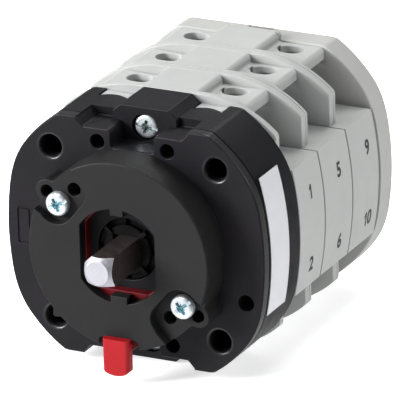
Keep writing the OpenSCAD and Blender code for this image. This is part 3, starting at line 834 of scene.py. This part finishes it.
# ------------------------------------------------------------------ release slide
def build_release():
    y0, y1 = -5.3, -3.4
    a = math.degrees(math.acos(9.75 / 10.55))
    outer = arc(0, 0, 10.55, a, 180 - a, 40) + arc(0, 0, 10.55, 180 + a, 360 - a, 40)
    s = prism(outer, y0, y1, 0.2, 0.2, "Y", 3)
    add(s, block(-5.7, 5.7, y0 + 0.02, y1 - 0.02, -10.9, -8.0))
    add(s, block(-2.6, 2.0, y0 + 0.04, y1 - 0.04, -18.6, -10.0))
    add(s, prism(rounded(boxp((-2.6, -20.2), (2.0, -17.9)), [0.4, 0.4, 0.15, 0.15], 4), -7.6, y1, 0, 0.2, "Y", 3))
    b0 = math.degrees(math.acos(8.0 / 9.6))
    b1 = math.degrees(math.asin(9.2 / 9.6))
    b2 = math.degrees(math.asin(8.0 / 9.6))
    hole = arc(0, 0, 9.6, b0, b1, 14) + arc(0, 0, 9.6, 180 - b1, 180 - b0, 14) + arc(0, 0, 9.6, 180 + b0, 180 + b2, 8) + arc(0, 0, 9.6, 360 - b2, 360 - b0, 8)
    cut(s, prism(hole, y0, y1 + 1, -0.22, 0, "Y", 3))
    # finger tab: arched lower end, rounded front corners, in front of the turret face
    w, cx = 2.8, -0.3
    front = rounded([(cx - w, -9.6), (cx + w, -9.6), (cx + w, -8.0), (cx - w, -8.0)], [0.6, 1.3, 0.1, 0.1], 8)
    tab = prism(front, -25.0, -16.9, 0.0, 0.0, "Z", 4)
    thick = rounded([(cx - w, -9.6), (cx + w, -9.6), (cx + w, -7.3), (cx - w, -7.3)], [0.6, 1.3, 0.3, 0.3], 8)
    add(tab, prism(thick, -25.0, -17.9, 0.0, 0.0, "Z", 4))
    arch = arc(cx, -19.5, 5.0, 244, 296, 24) + arc(cx + w - 1.0, -23.05, 1.0, 296, 360, 8) + [(cx + w, -5), (cx - w, -5)] + arc(cx - w + 1.0, -23.05, 1.0, 180, 244, 8)
    boolean(tab, prism(arch, -12, 0), "INTERSECT")
    bev = tab
    m = bev.modifiers.new("edge", "BEVEL")
    m.width, m.segments, m.limit_method, m.angle_limit = 0.52, 5, "ANGLE", math.radians(50)
    m.use_clamp_overlap = True
    dg = bpy.context.evaluated_depsgraph_get()
    new = bpy.data.meshes.new_from_object(bev.evaluated_get(dg))
    bev.modifiers.remove(m)
    old = bev.data
    bev.data = new
    bpy.data.meshes.remove(old)
    add(s, tab)
    return s


# faces behind the turret face get the darker red, painted shade inside the window
place(build_release(), "release_tab", "release", [RED, RED_PAINTED_SHADE], ["release_slide"], 40,
      lambda c, n: 1 if c.y > -7.45 else 0)


# ------------------------------------------------------------------ decks
def build_deck(k):
    s, e = DECKS[k]
    b = e - BAY
    m = e - BAY / 2
    g = 0.19                                   # rounded edge at each seam
    d = prism(outline(PANEL_H), s + 0.01, e - 0.01, g, g, "Y", 3)
    # barrier fins with the front wall, one above and one below
    for low in (0,):
        fin = prism(fin_outline(-2.0), s + 0.01, b, g, 0.28, "Y", 4)
        add(d, *both(fin))
    # fine parting line round the fin's edge
    if b - s > 2.0:
        ring = prism(grow(fin_outline(12.0), 1.2), s + 1.82, s + 1.99)
        boolean(ring, prism(grow(fin_outline(9.0), -0.12), s, s + 4), "DIFFERENCE")
        boolean(ring, prism(boxp((-40, 13.35), (40, 40)), s, s + 4), "INTERSECT")
        cut(d, *both(ring))
    # raised centre, rounded along its sides, with a soft fillet down to the roofs
    prof = [(-6.3, -1), (6.3, -1), (6.3, DECK_H), (-6.3, DECK_H)]
    mid = prism(rounded(prof, [0, 0, 1.15, 1.15], 8), b - 0.4, e - 0.01, 0, g, "Y", 3)
    add(d, *both(mid))
    # roofs over the terminals
    roof = [(0, 22.2), (16.3, 22.2), (16.3, 24.75), (0, 24.75)]
    rf = prism(rounded(roof, [0, 0.35, 1.0, 0], 6), b - 0.4, e - 0.02, 0, 0.16, "Y", 3)
    rf2 = clone(rf, MX)
    add(rf, rf2)
    add(d, *both(rf))
    fil = [(6.1, 24.5), (6.75, 24.5)] + [(6.3 + 0.45 * (1 - math.sin(t * PI / 12)), 24.75 + 0.45 * (1 - math.cos(t * PI / 12))) for t in range(0, 7)] + [(6.1, 25.2)]
    fl = prism(fil, b - 0.2, e - 0.05, 0, 0, "Y")
    add(d, *four(fl))
    hx, hy = 10.5, e - 3.2
    # driver holes with a rounded mouth
    for sg in (1, -1):
        for sx in (1, -1):
            oval = arc(sx * hx + 0.62, hy - 0.2, 2.05, -90, 90, 24) + arc(sx * hx - 0.62, hy - 0.2, 2.05, 90, 270, 24)
            hole = prism(oval, 21.0, 24.75, 0, -0.14, "Z", 3)
            slit = prism(boxp((sx * hx - sx * 2.86 - 0.26, hy - 0.7), (sx * hx - sx * 2.86 + 0.26, hy + 1.0)), 22.9, 26, 0, 0, "Z")
            line = prism(boxp((sx * hx - sx * 3.2 - 0.08, hy + 0.4), (sx * hx - sx * 3.2 + 0.08, e + 1)), 24.6, 26)
            for c in (hole, slit, line):
                if sg < 0:
                    c.data.transform(MZ); c.data.flip_normals()
                cut(d, c)
    cut(d, *four(prism(boxp((hx - 3.4, hy - 3.4), (hx + 3.4, e + 1)), 21.0, 23.4, 0, 0, "Z")))
    # seam: the side panels stand a little back at the rear joint
    seam = prism(grow(outline(PANEL_H), 1.0), e - (0.72 if k == 2 else 0.36), e + 1.0)
    boolean(seam, prism(grow(outline(PANEL_H), -0.75 if k == 2 else -0.5), e - 1.0, e + 2.0), "DIFFERENCE")
    boolean(seam, prism(boxp((-40, -13.31), (40, 13.31)), e - 1.0, e + 2.0), "INTERSECT")
    cut(d, seam)
    # inside: passages, cam room, follower ways, bridge rooms, screw holes
    cut(d, prism(circle(6.0, 0, 0, 64), s - 1, e + 1))
    cut(d, *both(prism(circle(1.65, 0, TIE_Z, 32), s - 1, e + 1)))
    cut(d, prism(circle(10.6, 0, 0, 80), b, e + 1))
    cut(d, prism(boxp((-25.2, -3.55), (25.2, 3.55)), b, e + 1))
    cut(d, prism(boxp((13.6, -11.3), (21.6, 11.3)), b, e + 1), prism(boxp((-21.6, -11.3), (-13.6, 11.3)), b, e + 1))
    cut(d, *four(prism(boxp((13.5, 11), (14.7, 15)), m - 2.6, m + 2.6)))
    cut(d, *four(prism(circle(1.6, hx, hy, 32), 11.9, 14.9, 0, 0, "Z")))
    if k == 0:
        a = math.degrees(math.asin(2.55 / 4.08))
        lug = [(7.35, 12.75)] + arc(10.25, 10.0, 4.08, 180 - a - 4, a + 4, 16) + [(13.25, 12.75), (13.25, 17.4), (7.35, 17.4)]
        lg = prism(lug, 22.2, 24.85, 0, 0.12, "Z")
        add(d, *four(lg))
    return d


def joint_shade_pick(y):
    """Material pick: the edge of a side panel in the joint at y is a little darker, painted shade in the seam."""
    return lambda c, n: 1 if (c.y < y + 0.5 and -0.98 < n.y < -0.2 and abs(c.z) < 13.25 and abs(c.x) > 20) else 0


for k in range(3):
    place(build_deck(k), "deck_%d_body" % (k + 1), "casing", [GREY, SEAM_PAINTED_SHADE], ["contact_deck_%d" % (k + 1)], 30, joint_shade_pick(DECKS[k][0]))


# ------------------------------------------------------------------ back cover
def build_cover():
    y0, y1 = COVER
    c = prism(outline(), y0 + 0.12, y1, 0.35, 0.5, "Y", 5)
    cut(c, prism(circle(11, 0, 0, 96), y1 - 0.9, y1 + 1, 0, 0, "Y"))
    add(c, prism(circle(7.6, 0, 0, 80), y1 - 2, y1 - 0.25, 0, 0.25, "Y"))
    cut(c, prism(circle(6.6, 0, 0, 80), y1 - 0.9, y1 + 1))
    cut(c, prism(circle(5.06, 0, 0, 64), y0 - 1, y1 - 1.7))
    cut(c, *both(prism(circle(1.65, 0, TIE_Z, 32), y0 - 1, y1 + 1)))
    # raised lip behind the last deck, and the nut seats: open to the top, bridged at the rear
    lip = [(-6.3, 20), (6.3, 20), (6.3, DECK_H), (-6.3, DECK_H)]
    add(c, *both(prism(rounded(lip, [0, 0, 1.15, 1.15], 8), y0 + 0.12, y0 + 1.15, 0.05, 0.2, "Y", 3)))
    cut(c, *both(prism(boxp((-3.0, 19.6), (3.0, 26.0)), y1 - 3.4, y1 - 0.5)))
    cut(c, *both(prism(boxp((-3.0, 19.6), (3.0, 24.3)), y1 - 2.0, y1 + 1.0)))
    # moulded ribs and ejector marks of the rear face
    for x, z in ((18, 14), (-18, 14), (18, -14), (-18, -14)):
        cut(c, prism(circle(1.9, x, z, 40), y1 - 0.15, y1 + 1))
    for sx in (1, -1):
        cut(c, prism(rounded(boxp((sx * 20.5 - 1.2, -7), (sx * 20.5 + 1.2, 7)), 1.1, 6), y1 - 0.7, y1, 0, -0.12, "Y", 3))
    return c


place(build_cover(), "rear_cover_body", "casing", [GREY_B, SEAM_PAINTED_SHADE], ["back_cover"], 30, joint_shade_pick(COVER[0]))


# ------------------------------------------------------------------ label on the right side
def side_x(z):
    return HALF_W - SIDE_R + math.sqrt(SIDE_R * SIDE_R - z * z)


def build_label():
    y0, y1, z0, z1, n, t = 3.15, 11.3, -12.3, 16.3, 30, 0.13
    verts, faces = [], []
    for i in range(n + 1):
        z = z0 + (z1 - z0) * i / n
        nx, nz = (side_x(z) - (HALF_W - SIDE_R)) / SIDE_R, z / SIDE_R
        for y, h in ((y0, -0.02), (y0, t - 0.03), (y0 + 0.05, t), (y1 - 0.05, t), (y1, t - 0.03), (y1, -0.02)):
            verts.append((side_x(z) + nx * h, y, z + nz * h))
    for i in range(n):
        for j in range(6):
            a, b = i * 6 + j, i * 6 + (j + 1) % 6
            faces.append((a, b, b + 6, a + 6))
    faces.append(tuple(range(5, -1, -1)))
    faces.append(tuple(n * 6 + j for j in range(6)))
    return mesh_object(verts, faces)


place(build_label(), "side_label_strip", "casing", [LABEL], ["side_label"], 30)


# ------------------------------------------------------------------ terminal numbers
def glyph(ch, size):
    """One digit as a flat solid, centred in height, its left edge at 0; returns the mesh and its width."""
    if ch == "1":
        h = size * 0.352
        pts = [(0.98, -h), (0.98, h), (0.60, h), (0.0, h - 0.66), (0.0, h - 1.18), (0.48, h - 0.76), (0.48, -h)]
        bm = bmesh.new()
        lo = [bm.verts.new((x, y, -0.02)) for x, y in pts]
        hi = [bm.verts.new((x, y, 0.02)) for x, y in pts]
        bm.faces.new(lo[::-1])
        bm.faces.new(hi)
        for a in range(len(pts)):
            b = (a + 1) % len(pts)
            bm.faces.new((lo[a], lo[b], hi[b], hi[a]))
        bmesh.ops.recalc_face_normals(bm, faces=bm.faces[:])
        me = bpy.data.meshes.new("n")
        bm.to_mesh(me)
        bm.free()
        return me, 0.98
    cu = bpy.data.curves.new("n", "FONT")
    cu.body, cu.size, cu.align_x, cu.align_y = ch, size, "LEFT", "CENTER"
    cu.extrude, cu.resolution_u, cu.offset = 0.02, 6, 0.12
    ob = bpy.data.objects.new("n", cu)
    COL.objects.link(ob)
    bpy.context.view_layer.update()
    me = bpy.data.meshes.new_from_object(ob.evaluated_get(bpy.context.evaluated_depsgraph_get()))
    bpy.data.objects.remove(ob)
    xs, ys = [v.co.x for v in me.vertices], [v.co.y for v in me.vertices]
    for v in me.vertices:
        v.co.x, v.co.y = (v.co.x - min(xs)) * 0.90, v.co.y - (min(ys) + max(ys)) / 2
    return me, (max(xs) - min(xs)) * 0.90


def number(text, side, y, z, size=4.2):
    """Printed number on the bulged side panel; side is +1 on the right, -1 on the left."""
    parts, x = [], 0.0
    for ch in text:
        me, w = glyph(ch, size)
        parts.append((me, x))
        x += w + 0.42
    verts, faces = [], []
    for me, x0 in parts:
        n = len(verts)
        for v in me.vertices:
            gx, gy, h = v.co.x + x0 - (x - 0.42) / 2, v.co.y, v.co.z + 0.015
            zz = z + gy
            nx, nz = (side_x(zz) - (HALF_W - SIDE_R)) / SIDE_R, zz / SIDE_R
            verts.append((side * (side_x(zz) + nx * h), y + side * gx, zz + nz * h))
        faces += [tuple(n + i for i in f.vertices) for f in me.polygons]
    return mesh_object(verts, faces)


for text, side, y, z in [("1", 1, 22.5, 6.9), ("2", 1, 22.5, -8.3), ("5", 1, 35.7, 6.9), ("6", 1, 35.7, -8.3), ("9", 1, 49.2, 6.9), ("10", 1, 49.2, -8.3),
                         ("3", -1, 22.5, 6.9), ("4", -1, 22.5, -8.3), ("7", -1, 35.7, 6.9), ("8", -1, 35.7, -8.3), ("11", -1, 49.2, 6.9), ("12", -1, 49.2, -8.3)]:
    place(number(text, side, y, z), "number_" + text, "casing", [INK], (), 60)

# ------------------------------------------------------------------ CAD pieces that keep their shape
KEEP = {
    ZINC: ["terminal_screws_%d" % k for k in (1, 2, 3)] + ["clamp_washers_%d" % k for k in (1, 2, 3)],
    NUT_PAINTED_SHADE: ["tie_nuts"],
    SPRING: ["slide_springs", "index_spring_left", "index_spring_right"] + ["contact_spring_%s%d" % (s, k) for s in "ab" for k in (1, 2, 3)],
    SHEET: ["stop_plate"],
    IVORY: ["index_wheel", "index_plunger_left", "index_plunger_right"] + ["follower_%s%d" % (s, k) for s in "ab" for k in (1, 2, 3)],
    CAM_GREY: ["cam_1", "cam_2", "cam_3", "rear_hub"],
    COPPER: ["bridge_%s%d" % (s, k) for s in "ab" for k in (1, 2, 3)],
    BRASS: ["fixed_contacts_%d" % k for k in (1, 2, 3)],
}
for mat, names in KEEP.items():
    for n in names:
        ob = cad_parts[n]
        if not ob.data.materials:
            ob.data.materials.append(mat)
        for i in range(len(ob.data.materials)):
            ob.data.materials[i] = mat

# ------------------------------------------------------------------ floor
FLOOR_Z = -DECK_H * 0.001 - 0.0002
fm = bpy.data.materials.new("floor_white")
nt, bs = nodes_of(fm)
bs.inputs["Base Color"].default_value = (0.90, 0.90, 0.90, 1)
bs.inputs["Roughness"].default_value = 0.9
bs.inputs["Emission Color"].default_value = (1, 1, 1, 1)
bs.inputs["Emission Strength"].default_value = 0.60
bs.inputs["Specular IOR Level"].default_value = 0.1
me = bpy.data.meshes.new("floor")
me.from_pydata([(-6, -6, FLOOR_Z), (6, -6, FLOOR_Z), (6, 6, FLOOR_Z), (-6, 6, FLOOR_Z)], [], [(0, 1, 2, 3)])
me.materials.append(fm)
floor = bpy.data.objects.new("floor", me)
COL.objects.link(floor)
floor.visible_glossy = False

# ------------------------------------------------------------------ light
world = bpy.data.worlds.new("studio")
SCENE.world = world
world.use_nodes = True
wt = world.node_tree
wt.nodes.clear()
wo = wt.nodes.new("ShaderNodeOutputWorld")
bg = wt.nodes.new("ShaderNodeBackground")
wt.links.new(bg.outputs[0], wo.inputs[0])
tc = wt.nodes.new("ShaderNodeTexCoord")
sep = wt.nodes.new("ShaderNodeSeparateXYZ")
wt.links.new(tc.outputs["Generated"], sep.inputs[0])
# brightness by direction: mirror-like reflections of a white table in front and to the left, dark behind and to the right
def wmath(op, a, b):
    n = wt.nodes.new("ShaderNodeMath"); n.operation = op
    for i, v in enumerate((a, b)):
        if isinstance(v, (int, float)):
            n.inputs[i].default_value = v
        else:
            wt.links.new(v, n.inputs[i])
    return n.outputs[0]
down = wmath("MAXIMUM", wmath("MULTIPLY", sep.outputs["Z"], -2.4), 0.0)
front = wmath("ADD", wmath("MULTIPLY", sep.outputs["Y"], -0.95), wmath("MULTIPLY", sep.outputs["X"], -0.35))
mask = wmath("MINIMUM", wmath("MAXIMUM", wmath("ADD", front, 0.30), 0.34), 1.0)
rear = wmath("MAXIMUM", wmath("MULTIPLY", sep.outputs["Y"], 0.26), 0.0)
# a soft box above and in front gives the light lines on rounded upper edges
dot = wmath("ADD", wmath("ADD", wmath("MULTIPLY", sep.outputs["X"], -0.34), wmath("MULTIPLY", sep.outputs["Y"], -0.40)), wmath("MULTIPLY", sep.outputs["Z"], 0.85))
box = wmath("MULTIPLY", wmath("MINIMUM", wmath("MAXIMUM", wmath("MULTIPLY", wmath("SUBTRACT", dot, 0.90), 22.0), 0.0), 1.0), 2.6)
tot = wmath("ADD", wmath("ADD", wmath("MULTIPLY", down, mask), box), wmath("ADD", rear, 0.03))
wt.links.new(tot, bg.inputs["Strength"])
bg.inputs["Color"].default_value = (1.0, 1.0, 1.0, 1)


def area(name, loc, aim, size, power, color=(1, 1, 1), size_y=None):
    l = bpy.data.lights.new(name, "AREA")
    l.energy, l.color, l.size = power, color, size
    if size_y:
        l.shape, l.size_y = "RECTANGLE", size_y
    o = bpy.data.objects.new(name, l)
    COL.objects.link(o)
    o.location = loc
    o.rotation_euler = (Vector(aim) - Vector(loc)).to_track_quat("-Z", "Y").to_euler()
    return o


area("key_left_front", (-0.70, -0.60, 0.35), (0, 0.02, 0), 0.40, 19.2)
area("top_back", (0.0, 0.50, 0.80), (0, 0.02, 0), 0.50, 5.9)
area("right_soft", (0.80, 0.10, 0.45), (0, 0.02, 0), 0.40, 2.75)
area("front_fill", (0.10, -0.90, 0.25), (0, 0.02, 0), 0.40, 0.2)

SCENE.view_settings.view_transform = "Standard"
SCENE.view_settings.look = "None"
SCENE.view_settings.exposure = 0.0
SCENE.view_settings.gamma = 1.0

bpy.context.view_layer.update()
